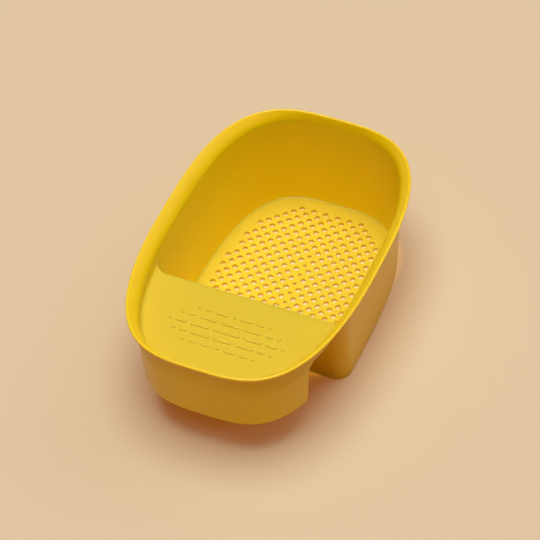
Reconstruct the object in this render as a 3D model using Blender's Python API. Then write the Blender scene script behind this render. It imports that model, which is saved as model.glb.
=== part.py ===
"""Saddle drain basket for a kitchen sink, moulded in yellow polypropylene.

A deep bowl with a perforated floor hangs behind a sink divider. A shallow shelf lies
over the divider, and an apron hangs down in front of it. One egg-shaped rim runs round
both. The real object is a single moulding, which is drawn here as the sections that a
mould maker would name, each a closed solid that stops a hair short of its neighbours.

Frame: +Y runs from the apron to the back of the bowl, +Z up, the table at zero, and the
origin under the middle of the rim.
"""
import math

import bmesh
import bpy
import numpy as np
from mathutils import Matrix

# Driving sizes, in metres
LENGTH = 0.268
WIDTH = 0.173
HEIGHT = 0.0967
WALL = 0.0020
GAP = 0.0003
OVERRUN = 0.0040

# Rim: the flare is widest at the sides and thin at the back
WIDEST_AT = 0.0050
FLARE_SIDE = 0.0097
FLARE_BACK = 0.0034
FLARE_FRONT = 0.0066
FLARE_RISE = 0.0068
FLARE_SKIRT = 0.0025
LIP_RADIUS = 0.0012

# Bowl
SIDE_DRAFT = 0.0053
BACK_DRAFT = 0.0008
FLOOR_WIDEST_AT = -0.0180
FLOOR_TOP = 0.0033
FLOOR_THICKNESS = 0.0020
SADDLE_FOOT_Y = -0.0320
SADDLE_LEAN = 0.0105
SADDLE_CORNER_RADIUS = 0.0100

# Strainer holes, on a square lattice turned by an eighth of a turn
HOLE_STEP = 0.0050
HOLE_DIAMETER = 0.0044
HOLE_MARGIN = 0.0095
HOLE_ORIGIN_Y = 0.0165
SMALL_HOLE_SHARE = 0.62
SMALL_HOLE_LAST_ROW = 11

# Shelf with its raised grip bars
SHELF_DEPTH = 0.0194
SHELF_THICKNESS = 0.0020
SHELF_NOSE_RADIUS = 0.0014
HORN_SHARE = 0.5
BAR_LENGTH = 0.0206
BAR_WIDTH = 0.0022
BAR_SPACING = 0.0034
BAR_HEIGHT = 0.0007
BAR_TOP_SHARE = 0.62
DOT_LENGTH_SHARE = 1.15
BARS_MIDDLE_SHARE = 0.435
BAR_ROW_STEP_SHARE = 0.096

# Apron in front of the sink divider
CREASE_DROP = 0.0234
APRON_DROP = 0.0599
APRON_DRAFT = 0.0026
APRON_BACK_Y = -0.0867
APRON_CORNER_RADIUS = 0.0042
APRON_HOLLOW = 0.0040
ELBOW_BEVEL = 0.0015

# Shape numbers without a unit
RIM_BACK_POWERS = (3.15, 2.92)
RIM_FRONT_POWERS = (3.30, 2.48)
FLOOR_POWERS = (3.45, 3.45)
BAR_ROW_SHARES = (
    (0.0, 0.46, 0.27, 0.0),
    (0.69, 0.69, 0.27, 0.0),
    (1.00, 0.69, 0.42, 0.0),
    (0.69, 0.69, 0.27, 0.0),
    (0.0, 0.46, 0.27, 0.0),
)
FLARE_BEND_SHARE = 0.34
QUARTER_POINTS = 18
DENSE_POINTS = 400
CORNER_POINTS = 5
BEND_POINTS = 3
LIP_POINTS = 5
BOWL_POINTS = 47
RECESS_POINTS = 33
HOLLOW_POINTS = 3
CLOSEST_STEP_SHARE = 0.006
APRON_POINTS = 27
WALL_LEVELS = 3
APRON_LEVELS = 2
HOLE_SIDES = 7
BAR_END_POINTS = 4
SMOOTH_ANGLE = math.radians(35)
LIP_START = math.radians(110)

# Heights that follow from the driving sizes
FLARE_FOOT = HEIGHT - FLARE_RISE
RIM_FOOT = FLARE_FOOT - FLARE_SKIRT
WALL_TOP = RIM_FOOT - GAP
SHELF_TOP = HEIGHT - SHELF_DEPTH
SHELF_FOOT = SHELF_TOP - SHELF_THICKNESS
CREASE = HEIGHT - CREASE_DROP
APRON_FOOT = HEIGHT - APRON_DROP
FLOOR_FOOT = FLOOR_TOP - FLOOR_THICKNESS

SATIN_ROUGHNESS = 0.42
YELLOW = (0.855, 0.540, 0.022, 1.0)
SHADED_YELLOW = (0.780, 0.450, 0.016, 1.0)


def clear_scene():
    for old in list(bpy.data.objects):
        bpy.data.objects.remove(old, do_unlink=True)


def new_collection(name, hidden=False):
    made = bpy.data.collections.new(name)
    bpy.context.scene.collection.children.link(made)
    made.hide_render = hidden
    return made


def plastic(name, colour):
    """Satin polypropylene: no metal, a broad soft highlight."""
    made = bpy.data.materials.new(name)
    made.use_nodes = True
    shader = made.node_tree.nodes["Principled BSDF"]
    shader.inputs["Base Color"].default_value = colour
    shader.inputs["Roughness"].default_value = SATIN_ROUGHNESS
    shader.inputs["Metallic"].default_value = 0.0
    return made


def finish_object(name, mesh, collection, colour=YELLOW):
    mesh.shade_smooth()
    mesh.set_sharp_from_angle(angle=SMOOTH_ANGLE)
    made = bpy.data.objects.new(name, mesh)
    made.data.materials.append(plastic(name + "_polypropylene", colour))
    collection.objects.link(made)
    return made


def cutter_object(name, mesh, collection):
    made = bpy.data.objects.new(name, mesh)
    made.display_type = "WIRE"
    made.hide_render = True
    collection.objects.link(made)
    return made


def boolean(target, cutter, operation):
    step = target.modifiers.new(cutter.name, "BOOLEAN")
    step.operation = operation
    step.solver = "EXACT"
    step.object = cutter


def lofted_mesh(name, sections, closed_path=False):
    """Skins a row of closed sections with equal point counts, and caps an open row."""
    work = bmesh.new()
    rings = [[work.verts.new(point) for point in section] for section in sections]
    followers = rings[1:] + rings[:1] if closed_path else rings[1:]
    for ring, follower in zip(rings, followers):
        for index, corner in enumerate(ring):
            beside = (index + 1) % len(ring)
            work.faces.new((corner, ring[beside], follower[beside], follower[index]))
    if not closed_path:
        work.faces.new(rings[0])
        work.faces.new(rings[-1])
    bmesh.ops.recalc_face_normals(work, faces=work.faces)
    mesh = bpy.data.meshes.new(name)
    work.to_mesh(mesh)
    work.free()
    return mesh


def placed(points, shares):
    """The points that lie at given shares of the way along a line."""
    steps = np.hypot(*np.diff(points, axis=0).T)
    travelled = np.concatenate(([0.0], np.cumsum(steps)))
    places = travelled[-1] * shares
    return np.column_stack([np.interp(places, travelled, points[:, axis]) for axis in (0, 1)])


def evenly_spaced(points, count):
    """The same line with count points at equal steps along it."""
    return placed(points, np.linspace(0.0, 1.0, count))


def quarter(half_width, reach, powers, count):
    """A quarter of a superellipse, from its widest place to its end on the Y axis."""
    turn = np.linspace(0.0, math.pi / 2, DENSE_POINTS)
    across = half_width * np.cos(turn).clip(0.0) ** (2 / powers[0])
    along = reach * np.sin(turn) ** (2 / powers[1])
    return evenly_spaced(np.column_stack((across, along)), count)


def egg(half_width, back, front, widest_at, back_powers, front_powers):
    """A closed outline that starts at its right widest place and goes round by the back."""
    rear = quarter(half_width, back - widest_at, back_powers, QUARTER_POINTS + 1)
    fore = quarter(half_width, widest_at - front, front_powers, QUARTER_POINTS + 1)
    flip_x = np.array((-1.0, 1.0))
    flip_y = np.array((1.0, -1.0))
    loop = np.concatenate((
        rear[:-1],
        (rear * flip_x)[:0:-1],
        (fore * -1.0)[:-1],
        (fore * flip_y)[:0:-1],
    ))
    return loop + np.array((0.0, widest_at))


def rim_egg():
    return egg(WIDTH / 2, LENGTH / 2, -LENGTH / 2, WIDEST_AT, RIM_BACK_POWERS, RIM_FRONT_POWERS)


def bowl_egg(height):
    """The inner face of the walls at a height: fuller and higher powered at the floor."""
    rise = (height - FLOOR_TOP) / (FLARE_FOOT - FLOOR_TOP)

    def between(low, high):
        return low + (high - low) * rise

    top_half = WIDTH / 2 - FLARE_SIDE
    top_back = LENGTH / 2 - FLARE_BACK
    return egg(
        between(top_half - SIDE_DRAFT, top_half),
        between(top_back - BACK_DRAFT, top_back),
        FLARE_FRONT - LENGTH / 2,
        between(FLOOR_WIDEST_AT, WIDEST_AT),
        [between(low, high) for low, high in zip(FLOOR_POWERS, RIM_BACK_POWERS)],
        [between(low, high) for low, high in zip(FLOOR_POWERS, RIM_FRONT_POWERS)],
    )


def outward(line, distance, closed=False):
    """The line moved sideways, away from the bowl, by a distance."""
    if closed:
        run = np.roll(line, -1, axis=0) - np.roll(line, 1, axis=0)
    else:
        run = np.gradient(line, axis=0)
    run = run / np.hypot(*run.T)[:, None]
    return line + distance * np.column_stack((run[:, 1], -run[:, 0]))


def saddle_y(height):
    """The saddle wall's inner face, which leans over the divider up to the shelf."""
    rise = (min(height, SHELF_TOP) - FLOOR_TOP) / (SHELF_TOP - FLOOR_TOP)
    return SADDLE_FOOT_Y - SADDLE_LEAN * rise


def corner_y(height):
    """Where the side walls end and the saddle wall's round corners begin."""
    return saddle_y(height) + SADDLE_CORNER_RADIUS


def side_x(height, y):
    """Where the right side wall's inner face stands at a height and a Y."""
    right = bowl_egg(height)
    right = right[right[:, 0] > 0]
    right = right[right[:, 1].argsort()]
    return float(np.interp(y, right[:, 1], right[:, 0]))


def wall_line(height, cut_y, behind):
    """The walls' inner face behind a Y, or in front of it, always counterclockwise."""
    loop = bowl_egg(height)
    first = 3 * QUARTER_POINTS if behind else QUARTER_POINTS
    loop = np.roll(loop, -first, axis=0)
    kept = loop[loop[:, 1] > cut_y] if behind else loop[loop[:, 1] < cut_y]
    side = side_x(height, cut_y) if behind else -side_x(height, cut_y)
    return np.concatenate(([(side, cut_y)], kept, [(-side, cut_y)]))


def saddle_line(height, offset=0.0, start_share=0.0):
    """The saddle wall's face from its left corner to its right one, round both corners."""
    centre_y = corner_y(height)
    centre_x = side_x(height, centre_y) - SADDLE_CORNER_RADIUS
    radius = SADDLE_CORNER_RADIUS + offset
    turn = np.linspace(start_share * math.pi / 2, math.pi / 2, CORNER_POINTS)
    left = np.column_stack((-centre_x - radius * np.cos(turn), centre_y - radius * np.sin(turn)))
    return np.concatenate((left, (left * (-1.0, 1.0))[::-1]))


def raised(line, height):
    return [(x, y, height) for x, y in line]


def wall_sections(inner_lines, outer_lines, heights):
    """Turns lines at several heights into one closed section for each step along them."""
    inner = [raised(line, height) for line, height in zip(inner_lines, heights)]
    outer = [raised(line, height) for line, height in zip(outer_lines, heights)]
    return [list(section) for section in zip(*inner, *reversed(outer))]


def bowl_line(height):
    """The bowl wall's inner face at a height, from its right end to its left one."""
    return evenly_spaced(wall_line(height, corner_y(height) + GAP, behind=True), BOWL_POINTS)


def bowl_wall(collection):
    """The back and both sides of the bowl, standing on the table by their lower edge."""
    heights = (0.0, *np.linspace(FLOOR_TOP, SHELF_TOP, WALL_LEVELS), WALL_TOP)
    inner = [bowl_line(height) for height in heights]
    outer = [outward(line, WALL) for line in inner]
    sections = wall_sections(inner, outer, heights)
    return finish_object("bowl_wall", lofted_mesh("bowl_wall", sections), collection)


def saddle_wall(collection):
    """The flat leaning wall behind the sink divider, round at both corners and along its top."""
    inner = [raised(saddle_line(0.0), 0.0)]
    for share in np.linspace(0.0, 1.0, BEND_POINTS):
        turn = share * math.pi / 2
        retreat = SHELF_NOSE_RADIUS * (1.0 - math.cos(turn))
        height = SHELF_TOP - SHELF_NOSE_RADIUS * (1.0 - math.sin(turn))
        inner.append(raised(saddle_line(height, retreat), height))
    outer = [raised(saddle_line(height, WALL), height) for height in (SHELF_TOP, 0.0)]
    sections = [list(section) for section in zip(*inner, *outer)]
    mesh = lofted_mesh("saddle_wall", sections)
    return finish_object("saddle_wall", mesh, collection, SHADED_YELLOW)


def recess_step_y():
    """Where the recess wall meets the saddle's round corners, so that its foot must clear them."""
    reach = SADDLE_CORNER_RADIUS + WALL + GAP
    meeting_turn = math.acos((SADDLE_CORNER_RADIUS - GAP) / reach)
    return corner_y(SHELF_TOP) - reach * math.sin(meeting_turn)


def recess_shares():
    """Where the recess wall's sections stand: even steps, and more where its foot changes."""
    shares = np.linspace(0.0, 1.0, DENSE_POINTS)
    line = placed(wall_line(CREASE, corner_y(SHELF_TOP), behind=False), shares)
    left = slice(0, DENSE_POINTS // 2)
    hollow = APRON_BACK_Y + APRON_HOLLOW * np.linspace(0.0, 1.0, HOLLOW_POINTS)
    changes = np.array((*hollow, recess_step_y() - GAP, recess_step_y()))
    spots = np.interp(-changes, -line[left, 1], shares[left])
    spots = np.concatenate((spots, 1.0 - spots))
    even = np.linspace(0.0, 1.0, RECESS_POINTS)
    clear = np.abs(even[:, None] - spots).min(axis=1) > CLOSEST_STEP_SHARE
    return np.sort(np.concatenate((even[clear], spots)))


def recess_line(height):
    """The recess wall's inner face at a height, straight between the crease and its top."""
    shares = recess_shares()
    crease, top = [
        placed(wall_line(level, corner_y(SHELF_TOP), behind=False), shares)
        for level in (CREASE, WALL_TOP)
    ]
    return crease + (top - crease) * (height - CREASE) / (WALL_TOP - CREASE)


def recess_foot(y):
    """The wall's foot and its outer bevel: low over the apron, and up in a hollow behind it."""
    if y > recess_step_y() - GAP / 2:
        return SHELF_TOP + GAP, GAP
    behind = min(max(y - APRON_BACK_Y, 0.0), APRON_HOLLOW) / APRON_HOLLOW
    foot = CREASE + (SHELF_FOOT - CREASE) * math.sin(behind * math.pi / 2)
    return foot, GAP + (ELBOW_BEVEL - GAP) * behind


def recess_wall(collection):
    """The low wall round the shelf. Where it meets the saddle's corners its foot steps up."""
    lines = [recess_line(height) for height in (CREASE, WALL_TOP)]
    rows = zip(*lines, *[outward(line, WALL) for line in lines])
    sections = []
    for low, high, low_outside, high_outside in rows:
        foot, bevel = recess_foot(low[1])
        corners = (
            (0.0, foot),
            (0.0, WALL_TOP),
            (1.0, WALL_TOP),
            (1.0, foot + bevel),
            (1.0 - bevel / WALL, foot),
        )
        section = []
        for side, height in corners:
            rise = (height - CREASE) / (WALL_TOP - CREASE)
            inside = low + (high - low) * rise
            outside = low_outside + (high_outside - low_outside) * rise
            section.append((*(inside + (outside - inside) * side), height))
        sections.append(section)
    return finish_object("recess_wall", lofted_mesh("recess_wall", sections), collection)


def floor_outline(height):
    """The bowl's inner outline at a height, just clear of the walls."""
    return outward(np.concatenate((bowl_line(height), saddle_line(height))), -GAP, closed=True)


def hole_places():
    """Each hole as X, Y and diameter: the lattice points well inside the floor's edge."""
    edge = floor_outline(FLOOR_TOP)
    run = np.roll(edge, -1, axis=0) - edge
    inward = np.column_stack((-run[:, 1], run[:, 0])) / np.hypot(*run.T)[:, None]
    columns = int(WIDTH / 2 / HOLE_STEP)
    rows = int(LENGTH / HOLE_STEP)
    places = []
    for row in range(-rows, rows + 1):
        for column in range(-columns, columns + 1):
            place = np.array((column * HOLE_STEP, HOLE_ORIGIN_Y + row * HOLE_STEP))
            inside = ((place - edge) * inward).sum(axis=1).min()
            if (row + column) % 2 and inside >= HOLE_MARGIN:
                small = column == 0 and row <= SMALL_HOLE_LAST_ROW
                share = SMALL_HOLE_SHARE if small else 1.0
                places.append((*place, share * HOLE_DIAMETER))
    return places


def strainer_floor(collection, cutters):
    """The perforated floor, a little above the table so that it drains."""
    heights = (FLOOR_FOOT, FLOOR_TOP)
    loops = [raised(floor_outline(height), height) for height in heights]
    floor = finish_object("strainer_floor", lofted_mesh("strainer_floor", loops), collection)
    drill = bmesh.new()
    depth = FLOOR_THICKNESS + 2 * OVERRUN
    for x, y, diameter in hole_places():
        bmesh.ops.create_cone(
            drill, cap_ends=True, segments=HOLE_SIDES, depth=depth,
            radius1=diameter / 2, radius2=diameter / 2,
            matrix=Matrix.Translation((x, y, FLOOR_TOP - FLOOR_THICKNESS / 2)),
        )
    mesh = bpy.data.meshes.new("drain_holes")
    drill.to_mesh(mesh)
    drill.free()
    boolean(floor, cutter_object("drain_holes", mesh, cutters), "DIFFERENCE")
    return floor


def bar_section(centre_x, centre_y, length, width, height):
    """A bar's round-ended outline at a height."""
    radius = width / 2
    turn = np.linspace(-math.pi / 2, math.pi / 2, BAR_END_POINTS)
    reach = length / 2 - BAR_WIDTH / 2
    right = [(centre_x + reach + radius * math.cos(a), centre_y + radius * math.sin(a)) for a in turn]
    left = [(centre_x - reach - radius * math.cos(a), centre_y - radius * math.sin(a)) for a in turn]
    return raised(right + left, height)


def grip_bars():
    """Five rows of raised round-ended bars, each row mirrored about its middle."""
    bars = []
    rear_y = saddle_y(SHELF_TOP) - WALL - GAP
    depth = rear_y - (FLARE_FRONT + GAP - LENGTH / 2)
    middle = (len(BAR_ROW_SHARES) - 1) / 2
    for row, shares in enumerate(BAR_ROW_SHARES):
        y = rear_y - depth * (BARS_MIDDLE_SHARE + (middle - row) * BAR_ROW_STEP_SHARE)
        dot = DOT_LENGTH_SHARE * BAR_WIDTH
        lengths = [max(share * BAR_LENGTH, dot) for share in shares]
        x = 0.0
        bars.append((x, y, lengths[0]))
        for length, before in zip(lengths[1:], lengths):
            x += before / 2 + BAR_SPACING + length / 2
            bars += [(x, y, length), (-x, y, length)]
    return bars


def sponge_shelf(collection, cutters):
    """The shelf over the divider, between the saddle wall and the recess wall, with its grip bars."""
    loops = [raised(shelf_outline(), height) for height in (SHELF_FOOT, SHELF_TOP)]
    shelf = finish_object("sponge_shelf", lofted_mesh("sponge_shelf", loops), collection)
    bars = bpy.data.meshes.new("grip_bars")
    work = bmesh.new()
    for x, y, length in grip_bars():
        root = bar_section(x, y, length, BAR_WIDTH, SHELF_TOP - SHELF_THICKNESS / 2)
        crown = bar_section(x, y, length, BAR_TOP_SHARE * BAR_WIDTH, SHELF_TOP + BAR_HEIGHT)
        piece = lofted_mesh("grip_bar", (root, crown))
        work.from_mesh(piece)
        bpy.data.meshes.remove(piece)
    work.to_mesh(bars)
    work.free()
    boolean(shelf, cutter_object("grip_bars", bars, cutters), "UNION")
    return shelf


def shelf_outline():
    """The shelf's edge: along the saddle wall's front face behind, and the recess wall in front."""
    wall = outward(recess_line(SHELF_FOOT), -GAP)
    right = wall[wall[:, 0] > 0]
    rear = saddle_line(SHELF_TOP, WALL + GAP, HORN_SHARE)
    limits = np.interp(rear[:, 1], right[:, 1], right[:, 0]) - GAP
    rear = rear[np.abs(rear[:, 0]) < limits]
    horn_y = rear[0][1]
    horn_x = np.interp(horn_y, right[:, 1], right[:, 0])
    fore = wall[wall[:, 1] < horn_y][::-1]
    return np.concatenate((rear, [(horn_x, horn_y)], fore, [(-horn_x, horn_y)]))


def apron(collection):
    """The skirt in front of the divider, with round lower corners and a slight draft."""
    top = CREASE - GAP
    line = wall_line(CREASE, APRON_BACK_Y, behind=False)
    line = evenly_spaced(line, DENSE_POINTS)
    travelled = np.concatenate(([0.0], np.cumsum(np.hypot(*np.diff(line, axis=0).T))))
    turn = np.linspace(0.0, math.pi / 2, CORNER_POINTS)
    ends = APRON_CORNER_RADIUS * (1.0 - np.cos(turn))
    middle = np.linspace(APRON_CORNER_RADIUS, travelled[-1] - APRON_CORNER_RADIUS, APRON_POINTS)
    places = np.concatenate((ends, middle[1:-1], (travelled[-1] - ends)[::-1]))
    rises = APRON_CORNER_RADIUS * (1.0 - np.sin(turn))
    feet = np.concatenate((rises, np.zeros(APRON_POINTS - 2), rises[::-1])) + APRON_FOOT
    sections = []
    slant = APRON_DRAFT / (top - APRON_FOOT)
    for place, foot in zip(places, feet):
        section = []
        heights = np.linspace(top, foot, APRON_LEVELS)
        for height in heights:
            section.append(apron_point(line, travelled, place, -slant * (top - height), height))
        for height in heights[::-1]:
            section.append(apron_point(line, travelled, place, WALL - slant * (top - height), height))
        sections.append(section)
    return finish_object("apron", lofted_mesh("apron", sections), collection)


def apron_point(line, travelled, place, offset, height):
    moved = outward(line, offset)
    x, y = (np.interp(place, travelled, moved[:, axis]) for axis in (0, 1))
    return (x, y, height)


def rim_flare(collection):
    """The flare and its round lip: one section per step, as wide as the flare is there."""
    outer = rim_egg()
    inner = bowl_egg(FLARE_FOOT)
    sections = [rim_section(low, high) for low, high in zip(inner, outer)]
    mesh = lofted_mesh("rim_flare", sections, closed_path=True)
    return finish_object("rim_flare", mesh, collection)


def rim_section(low, high):
    """The flare's section between the wall's inner face and the rim's outer edge."""
    reach = float(np.hypot(*(high - low)))
    way = (high - low) / reach
    bend_out = FLARE_BEND_SHARE * reach
    slope_rise = HEIGHT - FLARE_FOOT
    bend_end = (bend_out, FLARE_FOOT + FLARE_BEND_SHARE * slope_rise)
    bend_start = (0.0, FLARE_FOOT - FLARE_SKIRT / 2)
    profile = [(0.0, RIM_FOOT)]
    for share in np.linspace(0.0, 1.0, BEND_POINTS):
        rest = 1.0 - share
        away = rest ** 2 * bend_start[0] + share ** 2 * bend_end[0]
        up = rest ** 2 * bend_start[1] + 2 * rest * share * FLARE_FOOT + share ** 2 * bend_end[1]
        profile.append((away, up))
    lip_away = reach - LIP_RADIUS
    lip_up = HEIGHT - LIP_RADIUS
    for turn in np.linspace(LIP_START, -math.pi / 2, LIP_POINTS):
        profile.append((lip_away + LIP_RADIUS * math.cos(turn), lip_up + LIP_RADIUS * math.sin(turn)))
    profile.append((WALL, FLARE_FOOT - WALL / 2))
    profile.append((WALL, RIM_FOOT))
    return [(*(low + way * away), up) for away, up in profile]


def build():
    clear_scene()
    basket = new_collection("saddle_drain_basket")
    cutters = new_collection("cutters", hidden=True)
    rim_flare(basket)
    bowl_wall(basket)
    saddle_wall(basket)
    recess_wall(basket)
    strainer_floor(basket, cutters)
    sponge_shelf(basket, cutters)
    apron(basket)


build()
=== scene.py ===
# %% [markdown]
# # A saddle drain basket in yellow polypropylene
#
# The real object is one injection moulding: a deep bowl with a perforated floor, a shallow
# shelf that lies over a sink divider, and an apron that hangs in front of the divider. This
# lesson dresses the plain CAD solids of that basket. Every skin here is built from the same
# outlines as the solids, only denser, with the small radii that a mould leaves.
#
# Frame: +Y runs from the apron to the back of the bowl, +Z is up, and the table is at zero.

# %% Load the frame
import math

import bmesh
import bpy
import numpy as np
from mathutils import Matrix, Vector


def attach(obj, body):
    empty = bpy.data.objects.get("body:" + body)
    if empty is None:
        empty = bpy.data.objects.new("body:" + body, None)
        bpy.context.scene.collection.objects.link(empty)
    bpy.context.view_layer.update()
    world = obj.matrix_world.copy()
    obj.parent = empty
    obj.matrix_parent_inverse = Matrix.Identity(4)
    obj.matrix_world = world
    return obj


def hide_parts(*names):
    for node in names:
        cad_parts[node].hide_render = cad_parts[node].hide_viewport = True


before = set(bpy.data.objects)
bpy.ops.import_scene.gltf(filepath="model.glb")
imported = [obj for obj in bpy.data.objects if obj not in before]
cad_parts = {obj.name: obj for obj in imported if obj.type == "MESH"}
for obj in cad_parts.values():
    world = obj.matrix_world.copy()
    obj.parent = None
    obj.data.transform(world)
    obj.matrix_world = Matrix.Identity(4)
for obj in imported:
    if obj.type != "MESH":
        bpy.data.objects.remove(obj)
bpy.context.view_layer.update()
print("CAD nodes:", ", ".join(sorted(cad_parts)))

# %% [markdown]
# ## Sizes
# The basket's own measures, in metres, repeated from the CAD so that each skin lands on its
# solid. The radii that are too small for the solids come later, with the pieces that have
# them: they are how such a mould is cut, and they make the edges catch the light.

# %% Sizes of the basket
LENGTH, WIDTH, HEIGHT, WALL = 0.268, 0.173, 0.0967, 0.0020
WIDEST_AT = 0.0050
# How far the rim stands out past the wall.
FLARE_SIDE, FLARE_BACK, FLARE_FRONT = 0.0097, 0.0034, 0.0066
FLARE_RISE, FLARE_SKIRT, LIP_RADIUS = 0.0068, 0.0025, 0.0012
SIDE_DRAFT, BACK_DRAFT, FLOOR_WIDEST_AT = 0.0053, 0.0008, -0.0180
FLOOR_TOP, FLOOR_THICKNESS = 0.0033, 0.0020
SADDLE_FOOT_Y, SADDLE_LEAN, SADDLE_CORNER_RADIUS = -0.0320, 0.0105, 0.0100
SHELF_DEPTH, SHELF_THICKNESS, NOSE_RADIUS = 0.0194, 0.0020, 0.0014
CREASE_DROP, APRON_DROP, APRON_DRAFT = 0.0234, 0.0599, 0.0026
APRON_BACK_Y, APRON_CORNER_RADIUS = -0.0867, 0.0042
# The powers of the outlines in X and in Y. A higher one is squarer.
RIM_BACK_POWERS, RIM_FRONT_POWERS, FLOOR_POWERS = (3.15, 2.92), (3.30, 2.48), (3.45, 3.45)

FLARE_FOOT = HEIGHT - FLARE_RISE
RIM_FOOT = FLARE_FOOT - FLARE_SKIRT
SHELF_TOP = HEIGHT - SHELF_DEPTH
SHELF_FOOT = SHELF_TOP - SHELF_THICKNESS
CREASE = HEIGHT - CREASE_DROP
APRON_FOOT = HEIGHT - APRON_DROP
FLOOR_FOOT = FLOOR_TOP - FLOOR_THICKNESS
print(f"Basket {LENGTH * 1000:.0f} x {WIDTH * 1000:.0f} x {HEIGHT * 1000:.1f} mm")

# %% [markdown]
# ## Outlines
# Seen from above, the rim is an egg: a superellipse whose front and back quarters have
# their own reach and powers. Lower down the same egg narrows, so one function gives the
# inner face of the wall at any height. A place on it is a number of quarters turned from the
# right side, and wraps past four. It could be a Bezier curve with handles, but a formula
# keeps the skin on the solid at every height.

# %% The egg at a height
# Points of a quarter, and of the whole loop.
DENSE = 1500
ROUND = 4 * DENSE


def quarter(half_width, reach, powers):
    """A quarter of a superellipse, with its points at even distances."""
    turn = np.linspace(0.0, math.pi / 2, DENSE + 1)
    across = half_width * np.cos(turn).clip(0.0) ** (2 / powers[0])
    along = reach * np.sin(turn) ** (2 / powers[1])
    steps = np.hypot(np.diff(across), np.diff(along))
    travelled = np.concatenate(([0.0], np.cumsum(steps)))
    places = np.linspace(0.0, travelled[-1], DENSE + 1)
    return np.column_stack([np.interp(places, travelled, values) for values in (across, along)])


def egg(half_width, back, front, widest_at, back_powers, front_powers):
    """Four quarters in one loop, from the right side round by the back."""
    rear = quarter(half_width, back - widest_at, back_powers)
    fore = quarter(half_width, widest_at - front, front_powers)
    loop = np.concatenate((
        rear[:-1], (rear * (-1.0, 1.0))[:0:-1], (fore * -1.0)[:-1], (fore * (1.0, -1.0))[:0:-1],
    ))
    return loop + (0.0, widest_at)


RIM_EGG = egg(WIDTH / 2, LENGTH / 2, -LENGTH / 2, WIDEST_AT, RIM_BACK_POWERS, RIM_FRONT_POWERS)
# The wall's outlines that have been worked out so far, by height.
known_eggs = {}


def wall_egg(height):
    """The wall's inner face, seen from above, at a height."""
    key = round(height, 7)
    if key not in known_eggs:
        rise = (height - FLOOR_TOP) / (FLARE_FOOT - FLOOR_TOP)

        def between(low, high):
            return low + (high - low) * rise

        top_half = WIDTH / 2 - FLARE_SIDE
        top_back = LENGTH / 2 - FLARE_BACK
        known_eggs[key] = egg(
            between(top_half - SIDE_DRAFT, top_half),
            between(top_back - BACK_DRAFT, top_back),
            FLARE_FRONT - LENGTH / 2,
            between(FLOOR_WIDEST_AT, WIDEST_AT),
            [between(a, b) for a, b in zip(FLOOR_POWERS, RIM_BACK_POWERS)],
            [between(a, b) for a, b in zip(FLOOR_POWERS, RIM_FRONT_POWERS)],
        )
    return known_eggs[key]


def at(loop, quarters):
    """Points of a closed loop at places counted in quarters."""
    spot = np.mod(np.asarray(quarters, float) * DENSE, ROUND)
    low = np.floor(spot).astype(int) % ROUND
    share = (spot - np.floor(spot))[..., None]
    return loop[low] * (1 - share) + loop[(low + 1) % ROUND] * share


def outward_at(loop, quarters, reach=0.012):
    """Unit normals of the loop, pointing away from the bowl, over a reach in quarters."""
    run = at(loop, np.asarray(quarters) + reach) - at(loop, np.asarray(quarters) - reach)
    run /= np.hypot(run[..., 0], run[..., 1])[..., None]
    return np.stack((run[..., 1], -run[..., 0]), axis=-1)


print(f"The rim's egg has {ROUND} points")

# %% [markdown]
# ## Where the egg is cut
# Behind the divider the wall is the bowl's. In front of it the same egg is the low wall
# round the shelf. The cut lies where the saddle wall's round corner leaves the side wall,
# and it moves forward with height because the saddle wall leans.

# %% Where the walls are cut
BOWL_STEPS, FRONT_STEPS = 240, 176


def saddle_y(height):
    rise = (min(height, SHELF_TOP) - FLOOR_TOP) / (SHELF_TOP - FLOOR_TOP)
    return SADDLE_FOOT_Y - SADDLE_LEAN * rise


def corner_y(height):
    return saddle_y(height) + SADDLE_CORNER_RADIUS


def cut_at(height, y):
    """How far before the right widest place the egg crosses a Y, in quarters."""
    fore = wall_egg(height)[3 * DENSE:]
    return 1.0 - np.interp(y, fore[:, 1], np.arange(DENSE)) / DENSE


def spread(height, first, last, steps):
    """Places at even distances along the egg, between two of them."""
    fine = np.linspace(first, last, 6 * steps + 1)
    points = at(wall_egg(height), fine)
    travelled = np.concatenate(([0.0], np.cumsum(np.hypot(*np.diff(points, axis=0).T))))
    return np.interp(np.linspace(0.0, travelled[-1], steps + 1), travelled, fine)


def bowl_places(height):
    cut = cut_at(height, corner_y(height))
    return spread(height, -cut, 2 + cut, BOWL_STEPS)


def front_places(height):
    cut = cut_at(height, corner_y(SHELF_TOP))
    return spread(height, 2 + cut, 4 - cut, FRONT_STEPS)


print(f"The walls are skinned at {BOWL_STEPS + FRONT_STEPS} stations")

# %% [markdown]
# ## How the walls rise
# Near the top the wall doesn't turn out into the flare at a corner: a long soft bend leads
# over. It is the curve that a toolmaker draws between two straights, touching both. The
# wall's rows and the flare's rows both follow it, so that the two pieces meet on one face.

# %% Rows on the wall
# The bend takes up this share of the flare's sloping band.
BEND_SHARE = 0.60


def lifted(points, height):
    return np.column_stack((points, np.full(len(points), height)))


def flare_at(places):
    """How far the rim reaches past the wall at some places, and which way."""
    foot, edge = at(wall_egg(FLARE_FOOT), places), at(RIM_EGG, places)
    reach = np.hypot(*np.moveaxis(edge - foot, -1, 0))
    return reach, (edge - foot) / reach[..., None]


def flare_slope(reach):
    """The band's slope and length: it leaves the wall and touches the bead from inside."""
    far = np.hypot(reach - LIP_RADIUS, FLARE_RISE - LIP_RADIUS)
    slope = np.arctan2(FLARE_RISE - LIP_RADIUS, reach - LIP_RADIUS)
    slope += np.arcsin(LIP_RADIUS / far)
    return slope, np.sqrt(far ** 2 - LIP_RADIUS ** 2)


def bend_of(places):
    """The soft bend: its length down the wall, its reach out and its rise."""
    slope, length = flare_slope(flare_at(places)[0])
    size = BEND_SHARE * length
    return size, size * np.cos(slope), size * np.sin(slope)


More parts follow.
